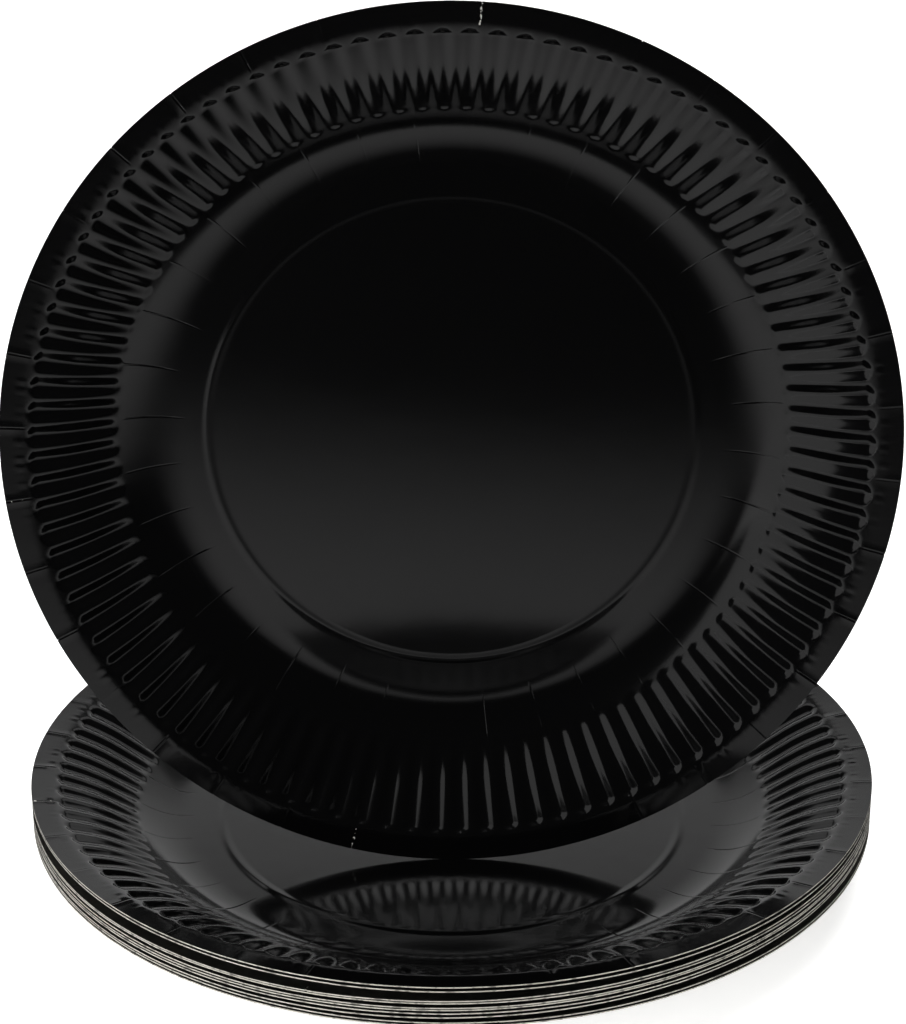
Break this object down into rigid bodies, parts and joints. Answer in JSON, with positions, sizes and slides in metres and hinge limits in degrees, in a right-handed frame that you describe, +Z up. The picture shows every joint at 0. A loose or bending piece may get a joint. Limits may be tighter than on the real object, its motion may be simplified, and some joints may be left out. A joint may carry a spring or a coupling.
{
  "type": "stack of paper plates",
  "caption": "Stack of round black fluted paper plates lying one in another, with one plate standing on its rim in the top plate's shallow well.",
  "frame": {"origin": "centre of the flat underside of the lowest plate, on the surface the stack lies on", "axes": "+Z up through the stack, -Y towards the side that the standing plate's eating face looks to, +X to the right as seen from there"},
  "size_m": [0.2301, 0.23, 0.2408],
  "materials": {
    "black_board": "gloss"
  },
  "bodies": {
    "root": {"plate_01": "black_board", "plate_02": "black_board", "plate_03": "black_board", "plate_04": "black_board", "plate_05": "black_board", "plate_06": "black_board", "plate_07": "black_board", "plate_08": "black_board", "plate_09": "black_board", "plate_10": "black_board", "standing_plate": "black_board"}
  },
  "joints": []
}
